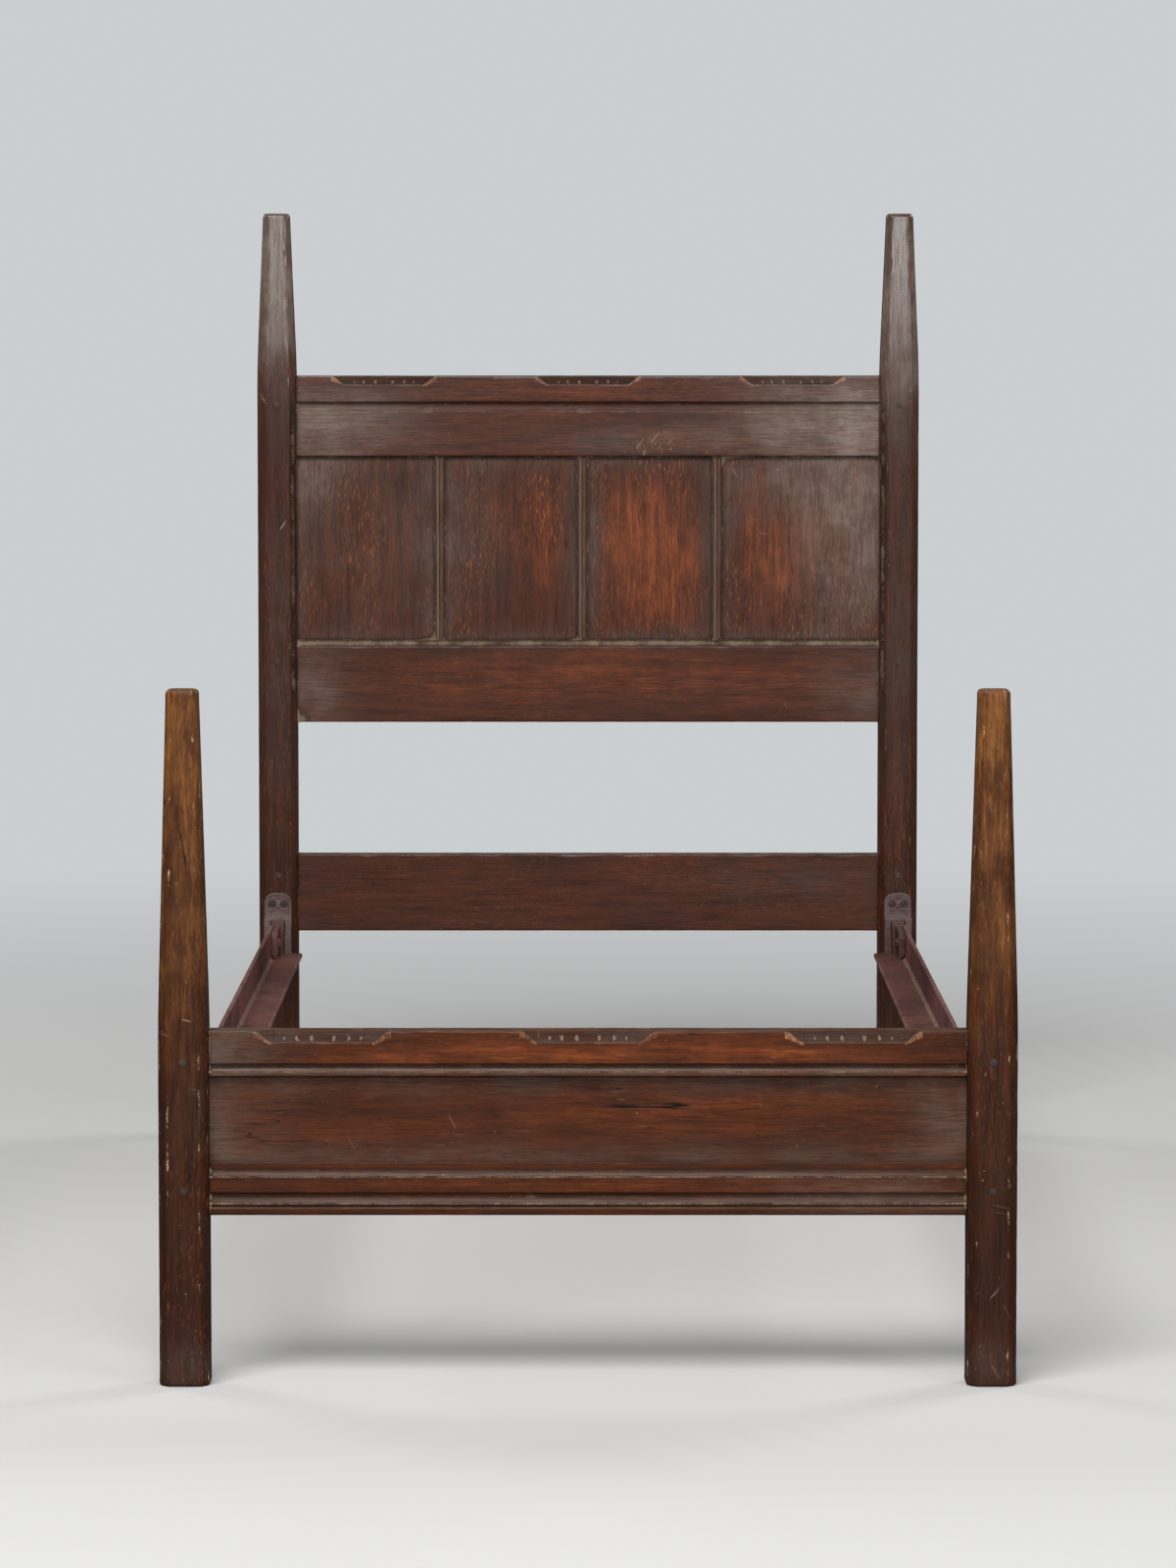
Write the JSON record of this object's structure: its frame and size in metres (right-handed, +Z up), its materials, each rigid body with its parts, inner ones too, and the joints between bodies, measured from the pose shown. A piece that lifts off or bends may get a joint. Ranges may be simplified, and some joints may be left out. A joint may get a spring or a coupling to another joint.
{
  "type": "panelled single bed",
  "caption": "Panelled dark oak single bed with tapered posts, a tall headboard with slim muntins, a low footboard with carved hollows, and angle-iron side rails that hook into cast sockets.",
  "frame": {"origin": "on the floor under the middle of the bed's bounding box", "axes": "+X to the right seen from the foot, +Y towards the headboard, +Z up"},
  "size_m": [0.94, 2.09, 1.31],
  "materials": {
    "oak_frame": "worn dark stained oak, waxed",
    "oak_panel": "quarter-sawn dark stained oak, worn polish",
    "oak_peg": "end grain, dark",
    "socket_casting": "cast iron, worn red-brown paint",
    "screw_steel": "old steel, painted over",
    "iron_paint": "chipped maroon paint, dusty",
    "lug_casting": "cast iron, worn paint"
  },
  "bodies": {
    "bed_ends": {"headboard_post_left": "oak_frame", "headboard_post_right": "oak_frame", "footboard_post_left": "oak_frame", "footboard_post_right": "oak_frame", "headboard_top_rail": "oak_frame", "headboard_mid_rail": "oak_frame", "headboard_lower_rail": "oak_frame", "footboard_top_rail": "oak_frame", "footboard_bottom_rail": "oak_frame", "headboard_panel_1": "oak_panel", "headboard_panel_2": "oak_panel", "headboard_panel_3": "oak_panel", "headboard_panel_4": "oak_panel", "footboard_panel": "oak_panel", "headboard_muntin_1": "oak_frame", "headboard_muntin_2": "oak_frame", "headboard_muntin_3": "oak_frame", "headboard_pegs": "oak_peg", "headboard_socket_left": "socket_casting", "headboard_socket_right": "socket_casting", "headboard_socket_screws": "screw_steel", "footboard_pegs": "oak_peg", "footboard_socket_left": "socket_casting", "footboard_socket_right": "socket_casting", "footboard_socket_screws": "screw_steel"},
    "left_iron": {"left_side_iron": "iron_paint", "left_iron_head_lug": "lug_casting", "left_iron_foot_lug": "lug_casting", "left_iron_rivets": "iron_paint"},
    "right_iron": {"right_side_iron": "iron_paint", "right_iron_head_lug": "lug_casting", "right_iron_foot_lug": "lug_casting", "right_iron_rivets": "iron_paint"}
  },
  "joints": [
    {"name": "left_iron_lift", "type": "slide", "parent": "bed_ends", "child": "left_iron", "axis": [0, 0, 1], "range_m": [0, 0.1]},
    {"name": "right_iron_lift", "type": "slide", "parent": "bed_ends", "child": "right_iron", "axis": [0, 0, 1], "range_m": [0, 0.1]}
  ]
}
